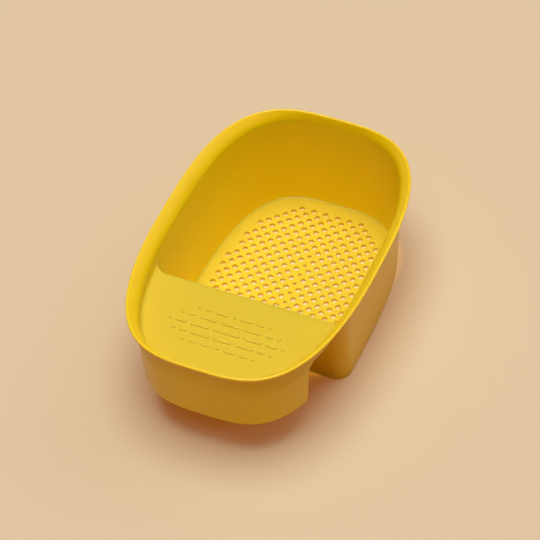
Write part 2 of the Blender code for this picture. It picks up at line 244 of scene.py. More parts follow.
def bend_share(height, down, up):
    """How far along the bend a height lies, from 0 at its foot to 1 at its end."""
    climbed = np.clip(height - (FLARE_FOOT - down), 0.0, None)
    return climbed / (down + np.sqrt(down ** 2 + (up - down) * climbed))


def bend_out(places, height):
    """How far the bend has moved the wall outward at a height."""
    down, out, up = bend_of(places)
    return bend_share(height, down, up) ** 2 * out


def wall_row(height, places, offset=0.0):
    """A row of points on the wall at a height, moved outward by an offset."""
    loop = wall_egg(height)
    moved = offset + bend_out(places, height)
    return lifted(at(loop, places) + moved[..., None] * outward_at(loop, places), height)


side_bend = bend_of(np.zeros(1))[0][0]
print(f"At the side the bend starts {side_bend * 1000:.1f} mm under the flare's foot")

# %% [markdown]
# ## Skins
# Each section of the moulding is a row of equal profiles, joined by quads and closed into
# one solid. Blender could sweep a profile along a curve, but these profiles change from
# station to station, so they are joined in mesh code.

# %% Skinning helpers
# Faces that meet at more than this stay crisp when the mesh is shaded smooth.
SHARP = math.radians(32)


def piece(name, mesh, slot, *nodes):
    """Puts a finished mesh in the scene in place of its CAD nodes."""
    mesh.shade_smooth()
    mesh.set_sharp_from_angle(angle=SHARP)
    made = bpy.data.objects.new(name, mesh)
    bpy.context.scene.collection.objects.link(made)
    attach(made, "root")
    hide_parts(*nodes)
    print(f"{name}: {len(mesh.polygons)} faces")
    return made


def mesh_of(name, work):
    """A mesh from mesh code's work, with all its faces turned outward."""
    bmesh.ops.recalc_face_normals(work, faces=work.faces)
    mesh = bpy.data.meshes.new(name)
    work.to_mesh(mesh)
    work.free()
    return mesh


def skin(name, rows, closed_path=False):
    """rows[k][i] is point k of the profile at station i; the profile is a closed ring."""
    grid = np.array(rows)
    work = bmesh.new()
    verts = [[work.verts.new(point) for point in row] for row in grid]
    count, stations = grid.shape[:2]
    for k in range(count):
        for i in range(stations if closed_path else stations - 1):
            j = (i + 1) % stations
            low, high = verts[k], verts[(k + 1) % count]
            work.faces.new((low[i], low[j], high[j], high[i]))
    if not closed_path:
        work.faces.new([row[0] for row in verts])
        work.faces.new([row[-1] for row in verts])
    return mesh_of(name, work)


def arc(first, last, count):
    """Even turns between two angles, which are given in degrees."""
    return np.linspace(math.radians(first), math.radians(last), count)


print(f"Edges under {math.degrees(SHARP):.0f} degrees are shaded smooth")

# %% [markdown]
# ## Rim flare
# Round the mouth the wall turns out into a sloping band, ends in a round bead and comes
# back underneath. The band is wide at the sides and almost gone at the back. A toolmaker
# cuts it as one sweep, so it is skinned as one ring: wall, soft bend, band, bead, underside.

# %% The rim flare
BEND_ROWS, LIP_ROWS = 9, 15


def blend3(start, middle, end, count):
    """A quadratic curve through three rows of points, as a list of rows."""
    rows = []
    for t in np.linspace(0.0, 1.0, count):
        rows.append((1 - t) ** 2 * start + 2 * t * (1 - t) * middle + t ** 2 * end)
    return rows


rim_places = np.concatenate((bowl_places(FLARE_FOOT)[:-1], front_places(FLARE_FOOT)[:-1]))
foot_line = at(wall_egg(FLARE_FOOT), rim_places)
flare_reach, flare_way = flare_at(rim_places)
down, out, up = bend_of(rim_places)


def flare_row(away, height):
    """A row at a distance out from the wall's top edge. Both may differ per station."""
    away = np.broadcast_to(away, flare_reach.shape)
    height = np.broadcast_to(height, flare_reach.shape)
    return np.column_stack((foot_line + flare_way * away[:, None], height))


# The ring's lower edge already lies part of the way along the bend.
first_t = bend_share(RIM_FOOT, down, up)
rim_rows = [wall_row(RIM_FOOT, rim_places)]
for share in np.linspace(0.0, 1.0, BEND_ROWS)[1:]:
    t = first_t * (1 - share) + share
    rim_rows.append(flare_row(t ** 2 * out, FLARE_FOOT - (1 - t) ** 2 * down + t ** 2 * up))
lip_away, lip_up = flare_reach - LIP_RADIUS, HEIGHT - LIP_RADIUS
start_turn = flare_slope(flare_reach)[0] + math.pi / 2
for share in np.linspace(0.0, 1.0, LIP_ROWS):
    turn = start_turn * (1 - share) - share * math.pi / 2
    rim_rows.append(flare_row(lip_away + LIP_RADIUS * np.cos(turn),
                              lip_up + LIP_RADIUS * np.sin(turn)))
under_end = wall_row(RIM_FOOT, rim_places, WALL)
under_bend = wall_row(FLARE_FOOT - WALL / 2, rim_places, WALL)
rim_rows += blend3(rim_rows[-1], under_bend, under_end, BEND_ROWS)[1:]
rim_mesh = skin("rim_band", rim_rows, closed_path=True)
rim = piece("rim_band", rim_mesh, "rim_plastic", "rim_flare")

# %% [markdown]
# ## Bowl wall
# The back and both sides of the bowl, 2 mm thick with a slight draft so that it leaves the
# mould. At the bottom it turns into the floor with a small radius, and its outer foot is
# rounded where it stands on the table.

# %% The bowl wall
WALL_ROWS, FILLET_ROWS, ROUND_ROWS = 14, 6, 4
FLOOR_FILLET, FOOT_ROUND = 0.0013, 0.0010


def foot_profile(row_at):
    """Rows from the floor's radius, round the foot, to the outer face.

    row_at gives a row on a wall, from an outward offset and a height.
    """
    rows = []
    for turn in arc(0, 90, FILLET_ROWS):
        rows.append(row_at(FLOOR_FILLET * (math.cos(turn) - 1),
                           FLOOR_TOP + FLOOR_FILLET * (1 - math.sin(turn))))
    rows.append(row_at(-FLOOR_FILLET, FLOOR_FOOT))
    rows.append(row_at(0.0, FLOOR_FOOT))
    for turn in arc(180, 270, ROUND_ROWS):
        rows.append(row_at(FOOT_ROUND * (1 + math.cos(turn)),
                           FOOT_ROUND * (1 + math.sin(turn))))
    for turn in arc(-90, 0, ROUND_ROWS):
        rows.append(row_at(WALL - FOOT_ROUND * (1 - math.cos(turn)),
                           FOOT_ROUND * (1 + math.sin(turn))))
    return rows


def bowl_row(offset, height):
    return wall_row(height, bowl_places(height), offset)


heights = np.linspace(RIM_FOOT, FLOOR_TOP + FLOOR_FILLET, WALL_ROWS)
bowl_rows = [bowl_row(0.0, height) for height in heights[:-1]]
bowl_rows += foot_profile(bowl_row)
bowl_rows += [bowl_row(WALL, height) for height in heights[::-1]]
bowl = piece("bowl_shell", skin("bowl_shell", bowl_rows), "bowl_plastic", "bowl_wall")

# %% [markdown]
# ## Saddle wall
# The flat wall that leans over the sink divider. It turns into the side walls with a 10 mm
# radius, and at the top it turns forward into the shelf: that round nose catches a thin
# line of light. The nose fades out where it meets the side walls.

# %% Stations on the saddle wall
# Each station has a turn round its corner, a span across the face and a side.
CORNER_STEPS, FACE_STEPS = 16, 24
corner_turns = np.linspace(0.0, math.pi / 2, CORNER_STEPS + 1)
corner_ones = np.ones(CORNER_STEPS + 1)
face_spans = np.linspace(1.0, -1.0, FACE_STEPS + 1)[1:-1]
face_turns = np.full(FACE_STEPS - 1, math.pi / 2)
saddle_turns = np.concatenate((corner_turns, face_turns, corner_turns[::-1]))
saddle_spans = np.concatenate((corner_ones, np.abs(face_spans), corner_ones))
saddle_sides = np.concatenate((-corner_ones, -np.sign(face_spans), corner_ones))
print(f"The saddle wall has {len(saddle_turns)} stations")

# %% The saddle wall
SADDLE_ROWS, NOSE_ROWS = 10, 7
# The nose has its full size from this turn on, and fades out to this share of it.
NOSE_FULL_TURN, NOSE_LEAST_SHARE = math.radians(55), 0.02
nose_size = NOSE_RADIUS * np.clip(saddle_turns / NOSE_FULL_TURN, NOSE_LEAST_SHARE, 1.0)


def saddle_row(offset, height):
    """From the left corner's start to the right one's. The offset may differ per station."""
    centre_y = corner_y(height)
    loop = wall_egg(height)
    centre_x = at(loop, -cut_at(height, centre_y))[0] - SADDLE_CORNER_RADIUS
    radius = SADDLE_CORNER_RADIUS + np.broadcast_to(offset, (len(saddle_turns),))
    x = saddle_sides * (centre_x * saddle_spans + radius * np.cos(saddle_turns))
    y = centre_y - radius * np.sin(saddle_turns)
    return np.column_stack((x, y, np.full(len(x), height)))


def saddle_nose_row(turn):
    """A row on the nose, from 90 degrees on its top to 0 on the wall's face."""
    low = saddle_row(nose_size * (1 - math.cos(turn)), SHELF_TOP)
    low[:, 2] -= nose_size * (1 - math.sin(turn))
    return low


saddle_rows = [saddle_nose_row(turn) for turn in arc(90, 0, NOSE_ROWS)]
heights = np.linspace(SHELF_TOP - NOSE_RADIUS, FLOOR_TOP + FLOOR_FILLET, SADDLE_ROWS)
saddle_rows += [saddle_row(0.0, height) for height in heights[1:-1]]
saddle_rows += foot_profile(saddle_row)
saddle_rows += [saddle_row(WALL, height) for height in (*heights[::-1], SHELF_TOP)]
saddle = piece("saddle_face", skin("saddle_face", saddle_rows), "bowl_plastic", "saddle_wall")

# %% [markdown]
# ## Elbow round the shelf
# The low wall round the shelf and the shelf itself are one bent plate. Its inner radius
# gives the soft dark line round the shelf, and its outer radius shows above the slot for
# the divider. Towards the shelf's rear corners the radius runs out to nothing, because
# the shelf does too.

# %% The elbow's radius
ELBOW_FILLET, CREASE_SOFTNESS = 0.0026, 0.0015
# Beside the saddle wall's corner the radius is this share of what is left of the shelf.
CORNER_SHARE, LEAST_RADIUS = 0.45, 0.00003
elbow_places = front_places(SHELF_TOP)
elbow_line = at(wall_egg(SHELF_TOP), elbow_places)
past_corner = np.clip(corner_y(SHELF_TOP) - elbow_line[:, 1], 0.0, SADDLE_CORNER_RADIUS)
horn_width = SADDLE_CORNER_RADIUS - np.sqrt(SADDLE_CORNER_RADIUS ** 2 - past_corner ** 2)
elbow_radius = np.clip(CORNER_SHARE * horn_width, LEAST_RADIUS, ELBOW_FILLET)
print(f"The elbow's radius runs from {elbow_radius.min() * 1000:.2f}"
      f" to {elbow_radius.max() * 1000:.1f} mm")

# %% The front wall, down to the apron's foot
APRON_SLANT = APRON_DRAFT / (CREASE - APRON_FOOT)


def soft(t, reach=CREASE_SOFTNESS):
    """Zero below, t above, and a smooth turn between."""
    t = np.asarray(t, float)
    return np.where(t > reach, t, np.where(t < -reach, 0.0, (t + reach) ** 2 / (4 * reach)))


def front_point(places, offset, height):
    """A point on the front wall: upright above the crease, leaning in under it."""
    upper = CREASE + soft(height - CREASE)
    rise = (upper - CREASE) / (RIM_FOOT - CREASE)
    foot, top = wall_egg(CREASE), wall_egg(RIM_FOOT)
    line = at(foot, places) * (1 - rise)[..., None] + at(top, places) * rise[..., None]
    normal = outward_at(foot, places)
    moved = offset + bend_out(places, height) - APRON_SLANT * soft(CREASE - height)
    return np.concatenate((line + normal * moved[..., None], height[..., None]), axis=-1)


def front_row(offset, height):
    shape = elbow_places.shape
    return front_point(elbow_places, np.broadcast_to(offset, shape),
                       np.broadcast_to(height, shape))


print(f"The apron leans in by {math.degrees(math.atan(APRON_SLANT)):.1f} degrees")

# %% The elbow wall
ELBOW_ROWS, PLAIN_ROWS = 8, 5
elbow_top = SHELF_TOP + elbow_radius
elbow_rows = []
for share in np.linspace(0.0, 1.0, PLAIN_ROWS):
    elbow_rows.append(front_row(0.0, RIM_FOOT * (1 - share) + elbow_top * share))
for turn in arc(0, 90, ELBOW_ROWS)[1:]:
    elbow_rows.append(front_row(elbow_radius * (math.cos(turn) - 1),
                                elbow_top - elbow_radius * math.sin(turn)))
outer_radius = elbow_radius + WALL
for turn in arc(90, 0, ELBOW_ROWS):
    elbow_rows.append(front_row(WALL + outer_radius * (math.cos(turn) - 1),
                                elbow_top - outer_radius * math.sin(turn)))
for share in np.linspace(0.0, 1.0, PLAIN_ROWS)[1:]:
    elbow_rows.append(front_row(WALL, elbow_top * (1 - share) + RIM_FOOT * share))
elbow = piece("elbow_wall", skin("elbow_wall", elbow_rows), "bowl_plastic", "recess_wall")

# %% [markdown]
# ## Apron
# The skirt in front of the divider is a leg on that elbow. Its free edge is fully rounded,
# its lower corners have a 4 mm radius, and its rear edges run into the elbow with a hollow
# curve. It is drawn as an inner and an outer sheet that close up towards the free edge, so
# the rounding follows the whole edge.

# %% The apron's free edge
APRON_TOP, APRON_FILLET = SHELF_TOP + ELBOW_FILLET, 0.0040
# The hollow ends a little over the shelf's underside, inside the elbow's outer radius. It
# stops short of its full quarter turn, where it would run level.
HOLLOW_TOP, HOLLOW_TURN_SHARE = SHELF_FOOT + 0.0012, 0.98
# The front half of the egg, finely measured, to tell how far along it a place lies.
FINE_PLACES = 4001
fine_places = np.linspace(2.0, 4.0, FINE_PLACES)
fine_line = at(wall_egg(CREASE), fine_places)
fine_run = np.concatenate(([0.0], np.cumsum(np.hypot(*np.diff(fine_line, axis=0).T))))
half = FINE_PLACES // 2
run_at_back = np.interp(-APRON_BACK_Y, -fine_line[:half, 1], fine_run[:half])
apron_span = fine_run[-1] - 2 * run_at_back


def apron_end(height):
    """How far the leg's end moves in at the lower corner, or out in the hollow at the top."""
    dip = np.clip(APRON_CORNER_RADIUS - (height - APRON_FOOT), 0.0, APRON_CORNER_RADIUS)
    lower = APRON_CORNER_RADIUS - np.sqrt(APRON_CORNER_RADIUS ** 2 - dip ** 2)
    climb = height - (HOLLOW_TOP - APRON_FILLET)
    climb = np.clip(climb, 0.0, APRON_FILLET * HOLLOW_TURN_SHARE)
    upper = APRON_FILLET - np.sqrt(APRON_FILLET ** 2 - climb ** 2)
    return lower - upper


def edge_distance(along, height):
    """How far a point of the leg is from its free edge."""
    low = height - APRON_FOOT
    inner = APRON_CORNER_RADIUS
    in_corner = (along < inner) & (low < inner)
    corner = inner - np.hypot(inner - along, inner - low)
    plain = np.minimum(along, low)
    up = np.clip(height - (HOLLOW_TOP - APRON_FILLET), 0.0, None)
    hollow = np.hypot(along + APRON_FILLET, up) - APRON_FILLET
    return np.where(in_corner, corner, np.where(up > 0, hollow, plain))


print(f"The apron is {apron_span * 1000:.0f} mm wide, measured along its curve")

# %% The apron's rows and columns
APRON_COLUMNS, CORNER_ROWS, LEG_ROWS, CREASE_ROWS = 120, 8, 12, 16
# Above the rounded edge, the rows of the lower corners begin at this turn, in degrees.
CORNER_START = 42
# Steps in from the free edge, closest where its rounding turns most.
EDGE_STEPS = np.array((0.0, 0.04, 0.15, 0.33, 0.6, 1.0)) * WALL / 2
# From the foot up: the rounded edge, the lower corners, the plain leg, and the crease and
# the hollow.
row_heights = np.concatenate((
    APRON_FOOT + EDGE_STEPS,
    APRON_FOOT + APRON_CORNER_RADIUS * (1 - np.cos(arc(CORNER_START, 90, CORNER_ROWS)))[1:],
    np.linspace(APRON_FOOT + APRON_CORNER_RADIUS, CREASE - CREASE_SOFTNESS, LEG_ROWS)[1:],
    np.linspace(CREASE - CREASE_SOFTNESS, APRON_TOP, CREASE_ROWS)[1:],
))
plain_steps = np.linspace(EDGE_STEPS[-1], apron_span / 2, APRON_COLUMNS)[1:]
column_steps = np.concatenate((EDGE_STEPS, plain_steps))
print(f"The apron has {len(row_heights)} rows of {2 * len(column_steps) - 1} points a side")

# %% The apron
WELD = 0.00001
outer_grid, inner_grid = [], []
for height in row_heights[::-1]:
    end = float(apron_end(height))
    # Past the rounded edge the columns close up or open out to fit the row.
    squeeze = (apron_span / 2 - end - EDGE_STEPS[-1]) / (apron_span / 2 - EDGE_STEPS[-1])
    steps = np.where(column_steps <= EDGE_STEPS[-1], column_steps,
                     EDGE_STEPS[-1] + (column_steps - EDGE_STEPS[-1]) * squeeze)
    along = end + steps
    away = np.clip(edge_distance(along, height) / (WALL / 2), 0.0, 1.0)
    thick = WALL / 2 * np.sqrt(np.clip(1 - (1 - away) ** 2, 0.0, 1.0))
    along = np.concatenate((along, (apron_span - along)[-2::-1]))
    thick = np.concatenate((thick, thick[-2::-1]))
    places = np.interp(run_at_back + along, fine_run, fine_places)
    level = np.full(len(places), height)
    outer_grid.append(front_point(places, WALL / 2 + thick, level))
    inner_grid.append(front_point(places, WALL / 2 - thick, level))
work = bmesh.new()
outer, inner = (
    [[work.verts.new(point) for point in row] for row in grid]
    for grid in (outer_grid, inner_grid)
)
# Strips of faces: down each sheet, along the top, and down both free ends.
strips = [*zip(outer, outer[1:]), *zip(inner, inner[1:]), (outer[0], inner[0])]
strips += [([row[end] for row in outer], [row[end] for row in inner]) for end in (0, -1)]
for upper, lower in strips:
    for i in range(len(upper) - 1):
        work.faces.new((upper[i], upper[i + 1], lower[i + 1], lower[i]))
bmesh.ops.remove_doubles(work, verts=work.verts, dist=WELD)
print("Apron:", sum(not edge.is_manifold for edge in work.edges), "open edges")
apron = piece("apron_skirt", mesh_of("apron_skirt", work), "bowl_plastic", "apron")

# %% [markdown]
# ## Strainer floor
# The drain holes lie on a square lattice turned by an eighth of a turn: every other point
# of a 5 mm grid, kept where it is well inside the floor's edge. The holes of the middle
# column are smaller, but for the last few at the back. Each is cut by one spool-shaped
# tool, whose flared ends leave the softened rim of a moulded hole.

# %% Where the drain holes are
HOLE_STEP, HOLE_RADIUS, HOLE_MARGIN, HOLE_ORIGIN_Y = 0.0050, 0.0022, 0.0098, 0.0165
SMALL_HOLE_SHARE, SMALL_HOLE_LAST_ROW = 0.62, 11
# The lattice ends at this diagonal at the back corners.
LAST_DIAGONAL = 25
ROWS, COLUMNS = range(-12, 30), range(-20, 21)


def hole_places():
    """The holes' places and radii."""
    parts = bowl_row(0.0, FLOOR_TOP), saddle_row(0.0, FLOOR_TOP)
    inner_edge = np.concatenate([part[:-1, :2] for part in parts])
    run = np.roll(inner_edge, -1, axis=0) - inner_edge
    inward = np.column_stack((-run[:, 1], run[:, 0])) / np.hypot(*run.T)[:, None]
    places = []
    for row in ROWS:
        for column in COLUMNS:
            place = np.array((column * HOLE_STEP, HOLE_ORIGIN_Y + row * HOLE_STEP))
            inside = ((place - inner_edge) * inward).sum(axis=1).min()
            on_lattice = (row + column) % 2 and abs(column) + row <= LAST_DIAGONAL
            if on_lattice and inside >= HOLE_MARGIN:
                small = column == 0 and row <= SMALL_HOLE_LAST_ROW
                places.append((*place, HOLE_RADIUS * (SMALL_HOLE_SHARE if small else 1.0)))
    return places


holes = hole_places()
print(len(holes), "drain holes,", sum(hole[2] < HOLE_RADIUS for hole in holes), "of them small")

# %% The drill
HOLE_SIDES = 24
# The spool's outline: height from the floor's top, and how much wider than the hole.
SPOOL = (
    (0.00060, 0.00080), (0.00000, 0.00020), (-0.00009, 0.00009), (-0.00024, 0.0),
    (-0.00180, 0.0), (-0.00200, 0.00012), (-0.00260, 0.0007),
)
drill_work = bmesh.new()
turns = np.linspace(0.0, 2 * math.pi, HOLE_SIDES, endpoint=False)
for x, y, radius in holes:
    rings = []
    for up, wider in SPOOL:
        reach = radius + wider
        rings.append([
            drill_work.verts.new((x + reach * math.cos(t), y + reach * math.sin(t), FLOOR_TOP + up))
            for t in turns
        ])
    for upper, lower in zip(rings, rings[1:]):
        for i in range(HOLE_SIDES):
            j = (i + 1) % HOLE_SIDES
            drill_work.faces.new((upper[i], upper[j], lower[j], lower[i]))
    drill_work.faces.new(rings[0])
    drill_work.faces.new(rings[-1])
print("The drill has", len(drill_work.faces), "faces")


# %% The strainer floor
def floor_ring(height):
    """Round the floor's edge, where the walls' own radius ends."""
    bowl_part = bowl_row(-FLOOR_FILLET, FLOOR_TOP)
    saddle_part = saddle_row(-FLOOR_FILLET, FLOOR_TOP)
    ring = np.concatenate((bowl_part[:-1], saddle_part[:-1]))
    ring[:, 2] = height
    return ring


def plate(name, ring_low, ring_high):
    """A flat plate between two equal rings of points."""
    work = bmesh.new()
    low = [work.verts.new(point) for point in ring_low]
    high = [work.verts.new(point) for point in ring_high]
    for i in range(len(low)):
        j = (i + 1) % len(low)
        work.faces.new((low[i], low[j], high[j], high[i]))
    work.faces.new(low)
    work.faces.new(high)
    return mesh_of(name, work)


def combined(name, mesh, tool_mesh, operation):
    """The mesh with a tool cut from it or joined to it."""
    base = bpy.data.objects.new(name, mesh)
    tool = bpy.data.objects.new(name + "_tool", tool_mesh)
    for thing in (base, tool):
        bpy.context.scene.collection.objects.link(thing)
    step = base.modifiers.new("shape", "BOOLEAN")
    step.operation, step.solver, step.object = operation, "EXACT", tool
    graph = bpy.context.evaluated_depsgraph_get()
    made = bpy.data.meshes.new_from_object(base.evaluated_get(graph))
    for thing in (base, tool):
        bpy.data.objects.remove(thing)
    work = bmesh.new()
    work.from_mesh(made)
    bmesh.ops.triangulate(work, faces=[face for face in work.faces if len(face.verts) > 4])
    bmesh.ops.recalc_face_normals(work, faces=work.faces)
    open_edges = sum(not edge.is_manifold for edge in work.edges)
    print(f"{name}: {open_edges} open edges, {work.calc_volume() * 1e9:.0f} cubic mm")
    work.to_mesh(made)
    work.free()
    return made


floor_mesh = plate("strainer", floor_ring(FLOOR_FOOT), floor_ring(FLOOR_TOP))
floor_mesh = combined("strainer", floor_mesh, mesh_of("drill", drill_work), "DIFFERENCE")
strainer = piece("strainer_plate", floor_mesh, "floor_plastic", "strainer_floor")

# %% [markdown]
# ## Sponge shelf
# A flat plate between the saddle wall and the elbow. Five rows of raised bars keep a wet
# sponge off it. They are only 1.1 mm high with soft edges, so they show as a bright line
# and a dark line each.

# %% The grip bars
BAR_LENGTH, BAR_WIDTH, BAR_SPACING = 0.0206, 0.0022, 0.0034
BARS_MIDDLE_Y, BAR_STEP = -0.0806, 0.0079
# Each row from the middle outwards, as shares of the longest bar. A zero is a dot.
BAR_SHARES = (
    (0.0, 0.46, 0.27, 0.0),
    (0.69, 0.69, 0.27, 0.0),
    (1.00, 0.69, 0.42, 0.0),
    (0.69, 0.69, 0.27, 0.0),
    (0.0, 0.46, 0.27, 0.0),
)
DOT_LENGTH = 1.15 * BAR_WIDTH
# A bar's side from its root up: how far past its outline, and how high over the shelf.
BAR_PROFILE = ((0.00026, -0.00060), (0.00026, 0.00003), (0.00012, 0.00014), (0.00002, 0.00042),
               (-0.00008, 0.00070), (-0.00026, 0.00092), (-0.00050, 0.00105), (-0.00076, 0.00110))
BAR_ENDS = 9


def bar_ring(x, y, length, grow, height):
    """The outline of a bar with round ends, grown by a little, at a height."""
    radius = BAR_WIDTH / 2 + grow
    reach = (length - BAR_WIDTH) / 2
    turn = arc(-90, 90, BAR_ENDS)
    right = np.column_stack((x + reach + radius * np.cos(turn), y + radius * np.sin(turn)))
    left = np.column_stack((x - reach - radius * np.cos(turn), y - radius * np.sin(turn)))
    return lifted(np.concatenate((right, left)), height)


bar_work = bmesh.new()
bar_count = 0
middle_row = len(BAR_SHARES) // 2
for row, shares in enumerate(BAR_SHARES):
    y = BARS_MIDDLE_Y + (row - middle_row) * BAR_STEP
    lengths = [max(share * BAR_LENGTH, DOT_LENGTH) for share in shares]
    spots = [(0.0, lengths[0])]
    x = 0.0
    for length, before in zip(lengths[1:], lengths):
        x += before / 2 + BAR_SPACING + length / 2
        spots += [(x, length), (-x, length)]
    for x, length in spots:
        rings = [[bar_work.verts.new(p) for p in bar_ring(x, y, length, grow, SHELF_TOP + up)]
                 for grow, up in BAR_PROFILE]
        for lower, upper in zip(rings, rings[1:]):
            for i in range(len(lower)):
                j = (i + 1) % len(lower)
                bar_work.faces.new((lower[i], lower[j], upper[j], upper[i]))
        bar_work.faces.new(rings[0])
        bar_work.faces.new(rings[-1])
        bar_count += 1
print(bar_count, "grip bars")

# %% The sponge shelf
# The shelf's two edges keep this far apart where they would meet in a point.
SIDE_CLEAR, REAR_CLEAR = 0.00005, 0.0001


def shelf_ring(height):
    """Along the saddle wall's outer face, then along the elbow's inner radius."""
    rear = saddle_row(WALL, SHELF_TOP)
    fore = front_row(-elbow_radius, SHELF_TOP)
    fore_right = fore[fore[:, 0] > 0]
    limit = np.interp(rear[:, 1], fore_right[:, 1], fore_right[:, 0])
    rear = rear[np.abs(rear[:, 0]) < limit - SIDE_CLEAR]
    fore = fore[fore[:, 1] < rear[0, 1] - REAR_CLEAR]
    ring = np.concatenate((rear, fore[::-1]))
    ring[:, 2] = height
    return ring


shelf_mesh = plate("shelf", shelf_ring(SHELF_FOOT), shelf_ring(SHELF_TOP))
shelf_mesh = combined("shelf", shelf_mesh, mesh_of("bars", bar_work), "UNION")
shelf = piece("shelf_plate", shelf_mesh, "floor_plastic", "sponge_shelf")

# %% [markdown]
# ## Satin polypropylene
# Colour comes from pigment mixed into the melt, so it is the same all through. The mould
# is spark eroded to a fine satin: the highlight is broad and soft, with a faint grain.
# Where the melt flowed, the pigment is a touch uneven over some centimetres. In the photo
# all that looks up is paler than the walls, more than the lamps explain, and the paler
# yellow is a painted sheen. It could be painted on each face, but here the slope of a face
# mixes it in, so it follows every fillet. The floor, the shelf and the flare have a sheen
# yellow each, and the walls of the drain holes have a deeper yellow: painted shade.

# %% Colour and node helpers
# A noise that repeats every so many millimetres has a scale of MM over that length.
MM = 1000.0


def linear(code):
    """An sRGB hex colour as the linear values that Blender works in."""
    parts = [int(code[i:i + 2], 16) / 255 for i in (0, 2, 4)]
    return [p / 12.92 if p <= 0.04045 else ((p + 0.055) / 1.055) ** 2.4 for p in parts] + [1.0]


def add_node(tree, kind, inputs=None, **settings):
    """Adds a node, sets its properties, and sets or links its inputs."""
    node = tree.nodes.new(kind)
    for key, value in settings.items():
        setattr(node, key, value)
    for key, value in (inputs or {}).items():
        if isinstance(value, bpy.types.NodeSocket):
            tree.links.new(value, node.inputs[key])
        else:
            node.inputs[key].default_value = value
    return node


print("Middle grey, 808080, is", round(linear("808080")[0], 3), "in linear values")

# %% The plastic
# The two yellows of a pair are the pigment's range over some centimetres.
# The holes' pair is deeper than the walls' pair: painted shade for the drain holes' walls.
WALL_YELLOWS, HOLE_SHADE_YELLOWS = ("FBD903", "F8D402"), ("E6CC03", "E3C802")
# The paler yellows that faces looking up turn to are a painted sheen, not the pigment.
FLOOR_SHEEN_YELLOW, SHELF_SHEEN_YELLOW, FLARE_SHEEN_YELLOW = "DEC434", "D7B933", "F0C827"
# Light goes a millimetre or two into the resin, red further than green, and a little
# further in the floor and the shelf, which are lit from both sides.
WALL_DEPTH, PLATE_DEPTH = 0.0015, 0.0018
# The real grain is near 0.2 mm. It is drawn larger so that a pixel can show it.
CLOUD_MM, GRAIN_MM = 45.0, 0.9


def satin_polypropylene(name, colours, sheen_colour, sheen_below, sheen_faces, depth):
    """The plastic, with a painted sheen: paler under a height on faces that look up.

    sheen_faces says how far up a face looks where the sheen begins, and where it is full.
    """
    made = bpy.data.materials.new(name)
    made.use_nodes = True
    tree = made.node_tree
    shader = tree.nodes["Principled BSDF"]
    spot = add_node(tree, "ShaderNodeTexCoord").outputs["Object"]
    flow = add_node(tree, "ShaderNodeTexNoise", {
        "Vector": spot, "Scale": MM / CLOUD_MM, "Detail": 2.0,
    })
    tint = add_node(tree, "ShaderNodeMix", {
        "Factor": flow.outputs["Fac"], "A": linear(colours[0]), "B": linear(colours[1]),
    }, data_type="RGBA")
    # The painted sheen: faces that look up, under a height, mix in a paler yellow.
    level = add_node(tree, "ShaderNodeSeparateXYZ", {"Vector": spot})
    low = add_node(tree, "ShaderNodeMapRange", {
        "Value": level.outputs["Z"],
        "From Min": sheen_below + ELBOW_FILLET, "From Max": sheen_below,
    })
    facing = add_node(tree, "ShaderNodeNewGeometry").outputs["Normal"]
    facing = add_node(tree, "ShaderNodeSeparateXYZ", {"Vector": facing})
    upward = add_node(tree, "ShaderNodeMapRange", {
        "Value": facing.outputs["Z"], "From Min": sheen_faces[0], "From Max": sheen_faces[1],
    })
    paler = add_node(tree, "ShaderNodeMath", {
        0: low.outputs["Result"], 1: upward.outputs["Result"],
    }, operation="MULTIPLY")
    tint = add_node(tree, "ShaderNodeMix", {
        "Factor": paler.outputs[0], "A": tint.outputs["Result"], "B": linear(sheen_colour),
    }, data_type="RGBA")
    grain = add_node(tree, "ShaderNodeTexNoise", {
        "Vector": spot, "Scale": MM / GRAIN_MM, "Detail": 2.0,
    })
    bump = add_node(tree, "ShaderNodeBump", {
        "Height": grain.outputs["Fac"], "Strength": 0.06, "Distance": 0.0002,
    })
    gloss = add_node(tree, "ShaderNodeMapRange", {
        "Value": flow.outputs["Fac"], "To Min": 0.27, "To Max": 0.33,
    })
    tree.links.new(tint.outputs["Result"], shader.inputs["Base Color"])
    tree.links.new(gloss.outputs["Result"], shader.inputs["Roughness"])
    tree.links.new(bump.outputs["Normal"], shader.inputs["Normal"])
    shader.inputs["IOR"].default_value = 1.38
    shader.inputs["Subsurface Weight"].default_value = 0.6
    shader.inputs["Subsurface Radius"].default_value = (1.0, 0.7, 0.25)
    shader.inputs["Subsurface Scale"].default_value = depth
    return made


print("The walls' yellow in linear values:", [round(v, 3) for v in linear(WALL_YELLOWS[0])[:3]])

# %% Dress the pieces
# How far up a face looks for the painted sheen: the flats take it at once, the flare slowly.
FLATS, FLARE = (0.2, 0.4), (0.3, 0.75)
BOWL_PP = satin_polypropylene(
    "satin_polypropylene_bowl", WALL_YELLOWS, FLOOR_SHEEN_YELLOW, SHELF_TOP, FLATS, WALL_DEPTH,
)
RECESS_PP = satin_polypropylene(
    "satin_polypropylene_recess", WALL_YELLOWS, SHELF_SHEEN_YELLOW, SHELF_TOP, FLATS, WALL_DEPTH,
)
RIM_PP = satin_polypropylene(
    "satin_polypropylene_rim", WALL_YELLOWS, FLARE_SHEEN_YELLOW, HEIGHT, FLARE, WALL_DEPTH,
)
